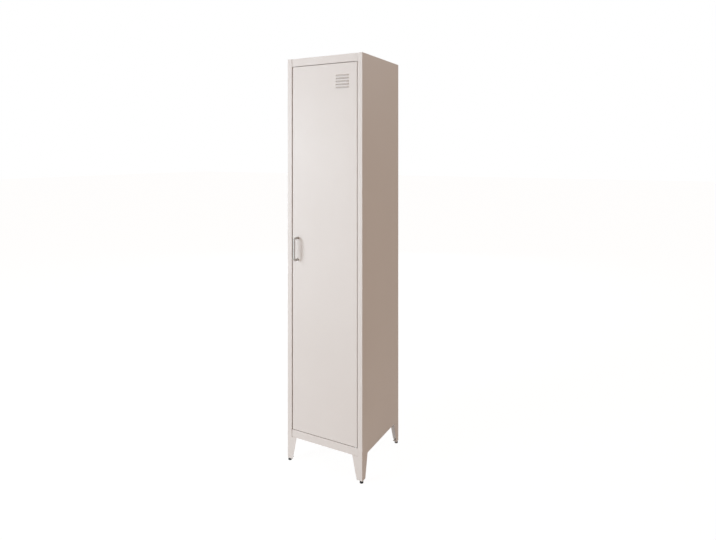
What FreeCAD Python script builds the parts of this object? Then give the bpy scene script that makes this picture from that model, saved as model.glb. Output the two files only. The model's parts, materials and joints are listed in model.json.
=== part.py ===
import FreeCAD, Part
import os
import re
import Sketcher

# Metal locker: a folded sheet-steel case with one inset door, on four tapered legs with levelling feet.
# Millimetres. +Z is up, the door faces -Y, and the origin lies on the floor under the middle of the box.

# Driving dimensions: name and millimetres, or a plain count
DRIVING = (
    ("case_width", 380),
    ("case_depth", 370),
    ("case_height", 1800),
    ("leg_height", 109),
    ("sheet", 0.8),
    ("bend", 1.6),
    ("edge_round", 0.5),
    ("seam", 0.8),
    ("fit", 0.2),
    ("tray_fit", 0.4),
    ("hole_run", 4),
    ("post_face", 23),
    ("post_flange", 14),
    ("rear_flange", 20),
    ("stop_lip", 12),
    ("stop_gap", 1),
    ("stop_notch", 2),
    ("stop_rest", 0.05),
    ("header_height", 34),
    ("apron_height", 33),
    ("tray_lip", 26),
    ("door_gap", 3.5),
    ("door_end_gap", 2.4),
    ("front_recess", 2),
    ("door_depth", 18),
    ("door_lip", 24),
    ("corner_round", 2.4),
    ("stiffener_width", 60),
    ("stiffener_foot", 12),
    ("stiffener_depth", 14),
    ("stiffener_margin", 40),
    ("louvre_count", 5),
    ("louvre_pitch", 13),
    ("louvre_length", 67),
    ("louvre_drop", 6),
    ("louvre_reach", 5.5),
    ("louvre_nose", 1.2),
    ("louvre_from_side", 38),
    ("louvre_from_top", 55),
    ("handle_centres", 96),
    ("handle_rod", 10),
    ("handle_reach", 35),
    ("handle_bend", 12),
    ("handle_inset", 28),
    ("handle_thread_depth", 14),
    ("handle_thread_end", 1),
    ("pivot_inset", 7),
    ("pin_diameter", 6),
    ("pin_engagement", 14),
    ("pin_flange", 12),
    ("pin_flange_height", 1.2),
    ("pin_rivet", 9),
    ("pin_rivet_height", 1.2),
    ("pin_chamfer", 0.8),
    ("pin_clearance", 0.05),
    ("bush_diameter", 9.6),
    ("bush_flange", 11),
    ("bush_flange_height", 1),
    ("bush_length", 7.5),
    ("leg_top", 48),
    ("leg_toe", 27),
    ("leg_sheet", 1.5),
    ("leg_bend", 2),
    ("toe_height", 11),
    ("toe_flange", 20),
    ("foot_inset", 8),
    ("foot_diameter", 16),
    ("foot_height", 6),
    ("foot_rim", 4),
    ("foot_neck", 11),
    ("foot_round", 1.6),
    ("stud_diameter", 8),
    ("stud_top", 52),
    ("stud_root", 2.5),
    ("stud_chamfer", 1),
    ("collar_flange", 15),
    ("collar_height", 2.5),
    ("collar_barrel", 11),
    ("collar_top", 21),
    ("leg_screw_near", 13),
    ("leg_screw_far", 35.5),
    ("shelf_height", 1480),
    ("shelf_setback", 36),
    ("shelf_front", 25),
    ("shelf_rear", 20),
    ("shelf_hem", 10),
    ("shelf_side_gap", 2),
    ("shelf_rear_gap", 6),
    ("bracket_sheet", 1.2),
    ("bracket_drop", 25),
    ("bracket_shelf", 24),
    ("bracket_screw_inset", 13),
    ("bracket_end_gap", 2),
    ("bracket_screw_from_end", 40),
    ("rail_diameter", 22),
    ("rail_wall", 1.2),
    ("rail_drop", 70),
    ("socket_flange", 46),
    ("socket_plate", 1.5),
    ("socket_wall", 2.2),
    ("socket_depth", 14),
    ("catch_length", 26),
    ("catch_depth", 14),
    ("catch_height", 44),
    ("catch_nose", 0.4),
    ("catch_edge_gap", 0.5),
    ("catch_screw_spacing", 28),
    ("magnet_depth", 8),
    ("magnet_height", 26),
    ("magnet_margin", 2),
    ("pole_sheet", 1.2),
    ("pole_proud", 0.3),
    ("strike_sheet", 0.9),
    ("strike_width", 13),
    ("strike_height", 42),
    ("buffer_diameter", 8),
    ("buffer_from_end", 220),
    ("back_screw_count", 6),
    ("anchor_spacing", 200),
    ("anchor_hole", 8),
    ("anchor_from_top", 80),
    ("screw_small", 3.5),
    ("screw_large", 6),
    ("screw_head_share", 2),
    ("screw_head_height_share", 0.55),
    ("screw_dome_share", 0.7),
    ("screw_length", 9),
    ("nut_height", 5),
)

# Places and sizes that follow from the driving dimensions
DERIVED = {
    "half_width": "case_width / 2",
    "front_y": "(handle_reach - front_recess - case_depth) / 2",
    "back_y": "front_y + case_depth",
    "post_x": "half_width - post_face",
    "skin_y": "front_y + front_recess",
    "door_back_y": "skin_y + door_depth",
    "stop_y": "door_back_y + stop_gap",
    "floor_z": "leg_height + apron_height",
    "header_z": "case_height - header_height",
    "cap_z": "case_height - sheet",
    "door_x": "post_x - door_gap",
    "door_low_z": "floor_z + door_end_gap",
    "door_high_z": "header_z - door_end_gap",
    "door_mid_z": "(door_low_z + door_high_z) / 2",
    "pivot_x": "door_x - pivot_inset",
    "pivot_y": "skin_y + pivot_inset",
    "handle_x": "handle_inset - door_x",
    "bar_y": "skin_y - handle_reach + handle_rod / 2",
    "tray_x": "half_width - sheet - tray_fit",
    "tray_front_x": "post_x - seam",
    "tray_notch_y": "stop_y + sheet + seam",
    "tray_rear_y": "back_y - 2 * sheet - tray_fit",
    "foot_x": "half_width - foot_inset",
    "foot_y": "front_y + foot_inset",
    "shelf_front_y": "front_y + shelf_setback",
    "shelf_rear_y": "tray_rear_y - shelf_rear_gap",
    "bracket_z": "shelf_height - sheet",
    "rail_z": "shelf_height - rail_drop",
    "rail_y": "(shelf_front_y + shelf_rear_y) / 2",
    "catch_x": "stop_lip - post_x + catch_edge_gap",
    "frame_screw_y": "(front_y + tray_notch_y) / 2",
    "louvre_right_x": "door_x - louvre_from_side",
    "louvre_left_x": "louvre_right_x - louvre_length",
    "louvre_mouth_z": "door_high_z - louvre_from_top",
    "louvre_rise": "louvre_drop - louvre_nose",
    "hood_wall": "sheet * sqrt(louvre_reach ^ 2 + louvre_rise ^ 2) / louvre_reach",
    "cheek_wall": "sheet * sqrt(2)",
    "hollow_reach": "louvre_reach - sheet",
    "hollow_top": "louvre_drop - hood_wall - hollow_reach * louvre_rise / louvre_reach",
}

UP = FreeCAD.Vector(0, 0, 1)
DOWN = FreeCAD.Vector(0, 0, -1)
LEFT = FreeCAD.Vector(-1, 0, 0)
RIGHT = FreeCAD.Vector(1, 0, 0)
REAR = FreeCAD.Vector(0, 1, 0)

# Lengths closer than this count as the same, in millimetres
CLOSE = 1e-3

doc = FreeCAD.newDocument("locker")
sheet = doc.addObject("Spreadsheet::Sheet", "Dims")
for row, (alias, amount) in enumerate(DRIVING, 1):
    sheet.set(f"A{row}", alias)
    sheet.set(f"B{row}", str(amount))
    sheet.setAlias(f"B{row}", alias)
doc.recompute()
ALIASES = {alias for alias, amount in DRIVING}
sub_parts = []


# Expressions

def expression(text):
    """Spell a formula out in the sheet's own cells."""
    def spelled(match):
        word = match.group(0)
        if word in DERIVED:
            return f"({expression(DERIVED[word])})"
        if word in ALIASES:
            return f"Dims.{word}"
        return word
    return re.sub(r"[a-z_]+", spelled, text)


def value(text):
    return float(sheet.evalExpression(expression(text)))


def bind(item, name, text):
    item.setExpression(name, expression(text))


def near(first, second):
    return abs(first - second) < CLOSE


def keep(item):
    """Count an object as one of the locker's sub-parts."""
    sub_parts.append(item)
    return item


# Sketches

def add_body(label):
    return keep(doc.addObject("PartDesign::Body", label))


def add_sketch(body, name, plane, position):
    """A sketch parallel to an origin plane, at a position along the third axis."""
    sketch = body.newObject("Sketcher::SketchObject", name)
    planes = {feature.Role: feature for feature in body.Origin.OriginFeatures}
    sketch.AttachmentSupport = [(planes[f"{plane}_Plane"], "")]
    sketch.MapMode = "FlatFace"
    # A sketch on the XZ plane faces -Y, so its position counts the other way
    sign = "-1 * " if plane == "XZ" else ""
    bind(sketch, "AttachmentOffset.Base.z", f"{sign}({position})")
    return sketch


def pin_point(sketch, geometry, end, place):
    """Hold a point at a place given as two formulas."""
    for axis, kind, text in ((-2, "DistanceX", place[0]), (-1, "DistanceY", place[1])):
        amount = value(text)
        if near(amount, 0):
            sketch.addConstraint(Sketcher.Constraint("PointOnObject", geometry, end, axis))
            continue
        number = sketch.addConstraint(Sketcher.Constraint(kind, -1, 1, geometry, end, amount))
        sketch.renameConstraint(number, f"{kind}_{geometry}_{end}")
        bind(sketch, f"Constraints.{kind}_{geometry}_{end}", text)


def point(place):
    return FreeCAD.Vector(value(place[0]), value(place[1]), 0)


def draw_loop(sketch, places):
    """Close a loop of straight lines through the places."""
    first = sketch.GeometryCount
    corners = [point(place) for place in places]
    for start, end in zip(corners, corners[1:] + corners[:1]):
        sketch.addGeometry(Part.LineSegment(start, end))
    for step, place in enumerate(places):
        line = first + step
        following = first + (step + 1) % len(places)
        sketch.addConstraint(Sketcher.Constraint("Coincident", line, 2, following, 1))
        pin_point(sketch, line, 1, place)


def draw_rectangle(sketch, low, high):
    draw_loop(sketch, (low, (high[0], low[1]), high, (low[0], high[1])))


def draw_circle(sketch, place, diameter):
    circle = sketch.addGeometry(Part.Circle(point(place), UP, value(diameter) / 2))
    pin_point(sketch, circle, 3, place)
    number = sketch.addConstraint(Sketcher.Constraint("Diameter", circle, value(diameter)))
    sketch.renameConstraint(number, f"Diameter_{circle}")
    bind(sketch, f"Constraints.Diameter_{circle}", diameter)


def loop(body, name, plane, position, places):
    sketch = add_sketch(body, name, plane, position)
    draw_loop(sketch, places)
    return sketch


def rectangle(body, name, plane, position, low, high):
    sketch = add_sketch(body, name, plane, position)
    draw_rectangle(sketch, low, high)
    return sketch


def circles(body, name, plane, position, places, diameter):
    sketch = add_sketch(body, name, plane, position)
    for place in places:
        draw_circle(sketch, place, diameter)
    return sketch


# Features

def pad(body, profile, length, turned=False, symmetric=False):
    feature = body.newObject("PartDesign::Pad", f"{profile.Name}_pad")
    feature.Profile = profile
    feature.Reversed = turned
    if symmetric:
        feature.SideType = "Symmetric"
    bind(feature, "Length", length)
    doc.recompute()
    return feature


def pocket(body, profile, length, turned=False):
    """Cut a profile: towards -Z, +Y or -X from its plane, or the other way when turned."""
    before = body.Shape.Volume
    feature = body.newObject("PartDesign::Pocket", f"{profile.Name}_pocket")
    feature.Profile = profile
    feature.Reversed = turned
    bind(feature, "Length", length)
    doc.recompute()
    if near(body.Shape.Volume, before):
        raise RuntimeError(f"{profile.Name} cuts nothing")
    return feature


def revolve(label, places, x, y):
    """A turned piece about its own upright axis: places are radius and height."""
    body = add_body(label)
    profile = loop(body, f"{label}_profile", "XZ", "0", places)
    feature = body.newObject("PartDesign::Revolution", f"{label}_turned")
    feature.Profile = profile
    feature.ReferenceAxis = (profile, ["V_Axis"])
    feature.Angle = 360
    bind(body, "Placement.Base.x", x)
    bind(body, "Placement.Base.y", y)
    doc.recompute()
    return body


def fillet(body, edges, radius):
    base = body.Tip
    feature = body.newObject("PartDesign::Fillet", f"{body.Name}_round")
    feature.Base = (base, edges)
    bind(feature, "Radius", radius)
    doc.recompute()
    return feature


def shell(body, faces, thickness):
    base = body.Tip
    feature = body.newObject("PartDesign::Thickness", f"{body.Name}_shell")
    feature.Base = (base, faces)
    feature.Reversed = True
    feature.Join = "Arc"
    bind(feature, "Value", thickness)
    doc.recompute()
    return feature


def faces_where(body, test):
    return [f"Face{number}" for number, face in enumerate(body.Tip.Shape.Faces, 1) if test(face)]


def edges_where(body, test):
    return [f"Edge{number}" for number, edge in enumerate(body.Tip.Shape.Edges, 1) if test(edge)]


def edges_through(body, plane, places):
    """Edges square to a plane that stand at the places."""
    axes = {"XY": ("x", "y"), "XZ": ("x", "z"), "YZ": ("y", "z")}[plane]
    spots = [(value(place[0]), value(place[1])) for place in places]

    def stands_at(edge, spot):
        return all(near(getattr(end.Point, axes[0]), spot[0]) and near(getattr(end.Point, axes[1]), spot[1])
                   for end in edge.Vertexes)
    return edges_where(body, lambda edge: any(stands_at(edge, spot) for spot in spots))


def folded(body, plane, position, length, outline, outside, inside, symmetric=False, turned=False):
    """A folded sheet: its outline run along one axis, with every fold rounded on both faces."""
    profile = loop(body, f"{body.Name}_section", plane, position, outline)
    pad(body, profile, length, turned, symmetric)
    fillet(body, edges_through(body, plane, outside), "bend")
    fillet(body, edges_through(body, plane, inside), "bend - sheet")


def mirrored(source, label, axis):
    """The same piece across the middle of the case, left to right or front to rear."""
    image = doc.addObject("Part::Mirroring", label)
    image.Source = source
    image.Normal = RIGHT if axis == "x" else REAR
    if axis == "y":
        bind(image, "Base.y", "(front_y + back_y) / 2")
    doc.recompute()
    return image


def four_corners(front_right, name):
    """Copy the front right piece to the other three corners and return all four."""
    front_left = mirrored(front_right, f"front_left_{name}", "x")
    rear_right = mirrored(front_right, f"rear_right_{name}", "y")
    rear_left = mirrored(front_left, f"rear_left_{name}", "y")
    return front_right, front_left, rear_right, rear_left


def group(label, items):
    """Separate solids that share one node."""
    compound = doc.addObject("Part::Compound", label)
    compound.Links = list(items)
    doc.recompute()
    return keep(compound)


def place_at(item, x, y, z, way):
    """Put a piece somewhere, with its own upright axis turned to point a given way."""
    item.Placement = FreeCAD.Placement(FreeCAD.Vector(), FreeCAD.Rotation(UP, way))
    bind(item, "Placement.Base.x", x)
    bind(item, "Placement.Base.y", y)
    bind(item, "Placement.Base.z", z)


def screws(label, size, length, places):
    """Pan-head screws: each place is where the head seats and the way the head points."""
    made = []
    for number, (x, y, z, way) in enumerate(places, 1):
        head = doc.addObject("Part::Cone", f"{label}_head_{number}")
        bind(head, "Radius1", f"{size} * screw_head_share / 2")
        bind(head, "Radius2", f"{size} * screw_head_share * screw_dome_share / 2")
        bind(head, "Height", f"{size} * screw_head_height_share")
        shank = doc.addObject("Part::Cylinder", f"{label}_shank_{number}")
        bind(shank, "Radius", f"{size} / 2")
        bind(shank, "Height", length)
        bind(shank, "Placement.Base.z", f"-1 * ({length})")
        screw = doc.addObject("Part::MultiFuse", f"{label}_{number}")
        screw.Shapes = [head, shank]
        place_at(screw, x, y, z, way)
        made.append(screw)
    return group(label, made)


# Case

def side_panel(label, side):
    """Side sheet, channel-shaped front post and rear flange in one folded piece."""
    outer = f"{side} * half_width"
    inner = f"{side} * (half_width - sheet)"
    post = f"{side} * post_x"
    post_inner = f"{side} * (post_x + sheet)"
    flange = f"{side} * (half_width - rear_flange)"
    rear = "back_y - sheet"
    rear_inner = "back_y - 2 * sheet"
    front_inner = "front_y + sheet"
    post_rear, post_rear_inner = "stop_y", "stop_y - sheet"
    post_edge = f"{side} * (post_x + post_flange)"
    outside = [(outer, rear), (outer, "front_y"), (post, "front_y"), (post, post_rear)]
    inside = [(post_inner, post_rear_inner), (post_inner, front_inner), (inner, front_inner), (inner, rear_inner)]
    edge = [(post_edge, post_rear), (post_edge, post_rear_inner)]
    outline = [(flange, rear)] + outside + edge + inside + [(flange, rear_inner)]
    body = add_body(label)
    folded(body, "XY", "leg_height", "cap_z - leg_height", outline, outside, inside)
    flange_x = f"{side} * (half_width - rear_flange / 2)"
    back_holes = circles(body, f"{label}_back_holes", "XZ", "back_y - hole_run",
                         [(flange_x, height) for height in back_screw_heights()], "screw_small + 2 * fit")
    pocket(body, back_holes, "hole_run")
    post_holes = circles(body, f"{label}_post_holes", "YZ", f"{side} * (post_x + sheet / 2) + hole_run / 2",
                         [("frame_screw_y", height) for height in frame_screw_heights()],
                         "screw_small + 2 * fit")
    pocket(body, post_holes, "hole_run")


def door_stop():
    """Flat strip welded behind the latch post's flange: the door closes against its free edge."""
    body = add_body("door_stop")
    low = ("-1 * (post_x + post_flange)", "floor_z + stop_notch")
    high = ("stop_lip - post_x", "header_z - stop_notch")
    face = rectangle(body, "stop_face", "XZ", "stop_y", low, high)
    pad(body, face, "sheet", turned=True)
    holes = circles(body, "stop_catch_holes", "XZ", "stop_y - hole_run / 2", catch_screw_places(),
                    "screw_small")
    pocket(body, holes, "hole_run")


def back_screw_heights():
    low, high = frame_screw_heights()
    run = f"({high} - {low})"
    count = int(value("back_screw_count"))
    return [f"{low} + {run} * {step} / (back_screw_count - 1)" for step in range(count)]


def frame_screw_heights():
    return "(leg_height + floor_z) / 2", "(header_z + case_height) / 2"


def catch_screw_places():
    x = "stop_lip / 2 - post_x"
    return [(x, f"door_mid_z + {side} * catch_screw_spacing / 2") for side in (-1, 1)]


def tray(label, low_z, height):
    """A shallow tray, open below and notched round the two posts. Its front is flush with the door."""
    body = add_body(label)
    outline = []
    for side in (-1, 1):
        half = [(f"{side} * tray_front_x", "skin_y"), (f"{side} * tray_front_x", "tray_notch_y"),
                (f"{side} * tray_x", "tray_notch_y"), (f"{side} * tray_x", "tray_rear_y")]
        outline = outline + half if side < 0 else outline + half[::-1]
    pad(body, loop(body, f"{label}_plan", "XY", low_z, outline), height)
    return body, outline


def open_below(body, low_z):
    low = value(low_z)
    shell(body, faces_where(body, lambda face: near(face.BoundBox.ZMax, low)), "sheet")


def frame_holes(body, label, height):
    for side in (-1, 1):
        holes = circles(body, f"{label}_frame_hole_{'left' if side < 0 else 'right'}", "YZ",
                        f"{side} * (tray_front_x - sheet / 2) + hole_run / 2",
                        [("frame_screw_y", height)], "screw_small + 2 * fit")
        pocket(body, holes, "hole_run")


def rear_holes(body, label, height):
    places = [(f"{side} * (half_width - rear_flange / 2)", height) for side in (-1, 1)]
    holes = circles(body, f"{label}_rear_holes", "XZ", "tray_rear_y - hole_run / 2", places,
                    "screw_small + 2 * fit")
    pocket(body, holes, "hole_run")


def base_panel():
    """Floor of the locker, folded down into the front apron, with an inturned lip that carries the legs."""
    body, outline = tray("base_panel", "leg_height", "apron_height")
    front, top = value("skin_y"), value("floor_z")

    def is_apron_fold(edge):
        return near(edge.BoundBox.YMax, front) and near(edge.BoundBox.ZMin, top)
    fillet(body, edges_where(body, is_apron_fold), "bend")
    open_below(body, "leg_height")
    lip = add_sketch(body, "base_lip", "XY", "leg_height")
    draw_loop(lip, outline)
    draw_rectangle(lip, ("tray_lip - tray_x", "skin_y + tray_lip"),
                   ("tray_x - tray_lip", "tray_rear_y - tray_lip"))
    pad(body, lip, "sheet")
    heights = frame_screw_heights()
    frame_holes(body, "base", heights[0])
    rear_holes(body, "base", heights[0])
    pin_hole = circles(body, "base_pin_hole", "XY", "floor_z + hole_run / 2", [("pivot_x", "pivot_y")],
                       "pin_diameter")
    pocket(body, pin_hole, "hole_run")
    screw_holes = circles(body, "base_leg_holes", "XY", "leg_height + hole_run / 2", leg_screw_places(),
                          "screw_large + 2 * fit")
    pocket(body, screw_holes, "hole_run")


def top_panel():
    """Lid over the side panels, folded down into the front header, with a lip that holds the upper pin."""
    body, outline = tray("top_panel", "header_z", "header_height")
    open_below(body, "header_z")
    left = [("-1 * half_width", "back_y"), ("-1 * half_width", "front_y"), ("-1 * tray_front_x", "front_y"),
            ("-1 * tray_front_x", "skin_y")]
    right = [("tray_front_x", "skin_y"), ("tray_front_x", "front_y"), ("half_width", "front_y"),
             ("half_width", "back_y")]
    pad(body, loop(body, "top_lid", "XY", "cap_z", left + right), "sheet")
    lip = rectangle(body, "header_lip", "XY", "header_z", ("-1 * tray_front_x", "skin_y"),
                    ("tray_front_x", "skin_y + tray_lip"))
    pad(body, lip, "sheet")
    top = value("case_height")
    fillet(body, edges_where(body, lambda edge: near(edge.BoundBox.ZMin, top)), "edge_round")
    heights = frame_screw_heights()
    frame_holes(body, "top", heights[1])
    rear_holes(body, "top", heights[1])
    pin_hole = circles(body, "header_pin_hole", "XY", "header_z + hole_run / 2", [("pivot_x", "pivot_y")],
                       "pin_diameter + 4 * pin_clearance")
    pocket(body, pin_hole, "hole_run")


def back_panel():
    """Flat sheet screwed to the rear flanges, with two holes for fixing the locker to a wall."""
    body = add_body("back_panel")
    outline = rectangle(body, "back_sheet", "XZ", "back_y", ("seam - half_width", "leg_height"),
                        ("half_width - seam", "cap_z - fit"))
    pad(body, outline, "sheet")
    places = [(f"{side} * (half_width - rear_flange / 2)", height)
              for side in (-1, 1) for height in back_screw_heights()]
    screw_holes = circles(body, "back_screw_holes", "XZ", "back_y - hole_run / 2", places,
                          "screw_small + 2 * fit")
    pocket(body, screw_holes, "hole_run")
    anchors = [(f"{side} * anchor_spacing / 2", "case_height - anchor_from_top") for side in (-1, 1)]
    anchor_holes = circles(body, "anchor_holes", "XZ", "back_y - hole_run / 2", anchors, "anchor_hole")
    pocket(body, anchor_holes, "hole_run")


def case_screws():
    heights = frame_screw_heights()
    back = [(f"{side} * (half_width - rear_flange / 2)", "back_y", height, REAR)
            for side in (-1, 1) for height in back_screw_heights()]
    screws("back_screws", "screw_small", "screw_length", back)
    frame = [(f"{side} * (tray_front_x - sheet)", "frame_screw_y", height, way)
             for side, way in ((-1, RIGHT), (1, LEFT)) for height in heights]
    screws("frame_screws", "screw_small", "screw_length", frame)


# Legs and levelling feet

def leg_screw_places():
    near_x, far_x = "half_width - leg_screw_far", "half_width - leg_screw_near"
    ends = (("front_y + leg_screw_near", "front_y + leg_screw_far"),
            ("back_y - leg_screw_near", "back_y - leg_screw_far"))
    places = []
    for side in (-1, 1):
        for near_y, far_y in ends:
            places.append((f"{side} * ({near_x})", near_y))
            places.append((f"{side} * ({far_x})", far_y))
    return places


def legs():
    """Tapered angle legs: two outer plates that narrow downwards, with a top plate and a toe flange."""
    body = add_body("front_right_leg")
    block = rectangle(body, "leg_block", "XY", "toe_height", ("half_width - leg_top", "front_y"),
                      ("half_width", "front_y + leg_top"))
    pad(body, block, "leg_height - toe_height")
    side_taper = [("half_width - leg_top", "leg_height"), ("half_width - leg_top", "toe_height"),
                  ("half_width - leg_toe", "toe_height")]
    pocket(body, loop(body, "leg_side_taper", "XZ", "front_y", side_taper), "leg_top")
    rear_taper = [("front_y + leg_top", "leg_height"), ("front_y + leg_top", "toe_height"),
                  ("front_y + leg_toe", "toe_height")]
    pocket(body, loop(body, "leg_rear_taper", "YZ", "half_width", rear_taper), "leg_top")
    inner_x, inner_y = value("half_width - leg_toe / 2"), value("front_y + leg_toe / 2")

    def faces_inwards(face):
        slanted = not near(face.BoundBox.ZLength, 0)
        return slanted and (face.BoundBox.XMax < inner_x or face.BoundBox.YMin > inner_y)
    shell(body, faces_where(body, faces_inwards), "leg_sheet")
    fillet(body, edges_through(body, "XY", [("half_width", "front_y")]), "leg_bend")
    past = "(leg_toe + leg_sheet)"
    trim = [(past, "leg_sheet"), (past, past), ("leg_sheet", past), ("leg_sheet", "toe_flange"),
            ("toe_flange", "toe_flange"), ("toe_flange", "leg_sheet")]
    toe_trim = loop(body, "leg_toe_trim", "XY", "toe_height + hole_run / 2",
                    [(f"half_width - {inwards}", f"front_y + {rearwards}") for inwards, rearwards in trim])
    pocket(body, toe_trim, "hole_run")
    toe_hole = circles(body, "leg_toe_hole", "XY", "toe_height + hole_run / 2", [("foot_x", "foot_y")],
                       "collar_barrel + fit")
    pocket(body, toe_hole, "hole_run")
    plate_holes = circles(body, "leg_plate_holes", "XY", "leg_height + hole_run / 2",
                          [("half_width - leg_screw_far", "front_y + leg_screw_near"),
                           ("half_width - leg_screw_near", "front_y + leg_screw_far")],
                          "screw_large + 2 * fit")
    pocket(body, plate_holes, "hole_run")
    for leg in four_corners(body, "leg")[1:]:
        keep(leg)
    under = [(x, y, "leg_height - leg_sheet", DOWN) for x, y in leg_screw_places()]
    screws("leg_screws", "screw_large", "screw_length", under)
    nuts = []
    for number, (x, y) in enumerate(leg_screw_places(), 1):
        block = doc.addObject("Part::Prism", f"leg_nut_block_{number}")
        block.Polygon = 6
        bind(block, "Circumradius", "screw_large")
        bind(block, "Height", "nut_height")
        bore = doc.addObject("Part::Cylinder", f"leg_nut_bore_{number}")
        bind(bore, "Radius", "screw_large / 2 + pin_clearance")
        bind(bore, "Height", "nut_height")
        nut = doc.addObject("Part::Cut", f"leg_nut_{number}")
        nut.Base = block
        nut.Tool = bore
        place_at(nut, x, y, "leg_height + sheet", UP)
        nuts.append(nut)
    group("leg_nuts", nuts)


def levelling_feet():
    """Threaded collars in the toe flanges, and a stud with a moulded pad in each."""
    bore = "stud_diameter / 2 + pin_clearance"
    collar = revolve("front_right_collar", [
        (bore, "toe_height - collar_height"), ("collar_flange / 2", "toe_height - collar_height"),
        ("collar_flange / 2", "toe_height"), ("collar_barrel / 2", "toe_height"),
        ("collar_barrel / 2", "collar_top"), (bore, "collar_top")], "foot_x", "foot_y")
    sub_parts.remove(collar)
    group("foot_collars", four_corners(collar, "collar"))
    foot = revolve("front_right_foot", [
        ("0", "0"), ("foot_diameter / 2", "0"), ("foot_diameter / 2", "foot_rim"),
        ("foot_neck / 2", "foot_height"), ("stud_diameter / 2", "foot_height"),
        ("stud_diameter / 2", "stud_root"), ("0", "stud_root")], "foot_x", "foot_y")
    rim = value("foot_diameter / 2")

    def is_ground_rim(edge):
        return near(edge.BoundBox.ZMax, 0) and near(edge.BoundBox.XMax, rim)
    fillet(foot, edges_where(foot, is_ground_rim), "foot_round")
    stud = revolve("front_right_stud", [
        ("0", "stud_root"), ("stud_diameter / 2", "stud_root"),
        ("stud_diameter / 2", "stud_top - stud_chamfer"),
        ("stud_diameter / 2 - stud_chamfer", "stud_top"), ("0", "stud_top")], "foot_x", "foot_y")
    for piece, name in ((foot, "foot"), (stud, "stud")):
        for copy in four_corners(piece, name)[1:]:
            keep(copy)


# Inside of the locker

def hat_shelf():
    """Shelf folded down at the front and rear, hemmed along its front edge."""
    body = add_body("hat_shelf")
    front, rear = "shelf_front_y", "shelf_rear_y"
    low = "shelf_height - shelf_front"
    under = "shelf_height - sheet"
    outside = [(front, low), (front, "shelf_height"), (rear, "shelf_height")]
    inside = [(f"{rear} - sheet", under), (f"{front} + sheet", under), (f"{front} + sheet", f"{low} + sheet")]
    hem = [(f"{front} + shelf_hem", f"{low} + sheet"), (f"{front} + shelf_hem", low)]
    drop = [(rear, "shelf_height - shelf_rear"), (f"{rear} - sheet", "shelf_height - shelf_rear")]
    folded(body, "YZ", "0", "2 * (half_width - sheet - shelf_side_gap)", outside + drop + inside + hem,
           outside, inside, symmetric=True)
    holes = circles(body, "shelf_holes", "XY", "shelf_height + hole_run / 2", shelf_screw_places(),
                    "screw_small + 2 * fit")
    pocket(body, holes, "hole_run")


def shelf_screw_places():
    x = "half_width - sheet - bracket_screw_inset"
    ends = ("shelf_front_y + bracket_screw_from_end", "shelf_rear_y - bracket_screw_from_end")
    return [(f"{side} * ({x})", y) for side in (-1, 1) for y in ends]


def shelf_bracket(label, side):
    """Angle welded to the side panel, under one end of the shelf."""
    wall = f"{side} * (half_width - sheet)"
    wall_inner = f"{side} * (half_width - sheet - bracket_sheet)"
    tip = f"{side} * (half_width - sheet - bracket_shelf)"
    foot, ledge = "bracket_z - bracket_drop", "bracket_z - bracket_sheet"
    front, rear = "shelf_front_y + shelf_hem + fit", "shelf_rear_y - sheet - bracket_end_gap"
    body = add_body(label)
    outline = [(wall, "bracket_z"), (wall, foot), (wall_inner, foot), (wall_inner, ledge), (tip, ledge),
               (tip, "bracket_z")]
    section = loop(body, f"{label}_section", "XZ", front, outline)
    pad(body, section, f"{rear} - ({front})", turned=True)
    fillet(body, edges_through(body, "XZ", [outline[0]]), "bend")
    places = [place for place in shelf_screw_places() if value(place[0]) * side > 0]
    holes = circles(body, f"{label}_holes", "XY", "bracket_z + hole_run / 2", places, "screw_small + 2 * fit")
    pocket(body, holes, "hole_run")


def hanging_rail():
    """Round tube across the locker, dropped into an open socket at each end."""
    body = add_body("hanging_rail")
    section = add_sketch(body, "rail_section", "YZ", "0")
    draw_circle(section, ("rail_y", "rail_z"), "rail_diameter")
    draw_circle(section, ("rail_y", "rail_z"), "rail_diameter - 2 * rail_wall")
    pad(body, section, "2 * (half_width - sheet - socket_plate - fit)", symmetric=True)
    for label, side in (("left_rail_socket", -1), ("right_rail_socket", 1)):
        rail_socket(label, side)


def rail_socket(label, side):
    """Wall plate with an open cup that the rail drops into from above."""
    body = add_body(label)
    wall = f"{side} * (half_width - sheet)"
    inwards = side > 0
    centre = [("rail_y", "rail_z")]
    seat = "rail_diameter + 2 * fit"
    plate = circles(body, f"{label}_plate", "YZ", wall, centre, "socket_flange")
    pad(body, plate, "socket_plate", turned=inwards)
    cup = circles(body, f"{label}_cup", "YZ", wall, centre, f"{seat} + 2 * socket_wall")
    pad(body, cup, "socket_depth", turned=inwards)
    start = f"{side} * (half_width - sheet - socket_plate)"
    bore = circles(body, f"{label}_bore", "YZ", start, centre, seat)
    pocket(body, bore, "socket_depth", turned=not inwards)
    slot = rectangle(body, f"{label}_slot", "YZ", start, (f"rail_y - ({seat}) / 2", "rail_z"),
                     (f"rail_y + ({seat}) / 2", "rail_z + socket_flange"))
    pocket(body, slot, "socket_depth", turned=not inwards)


# Door

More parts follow.
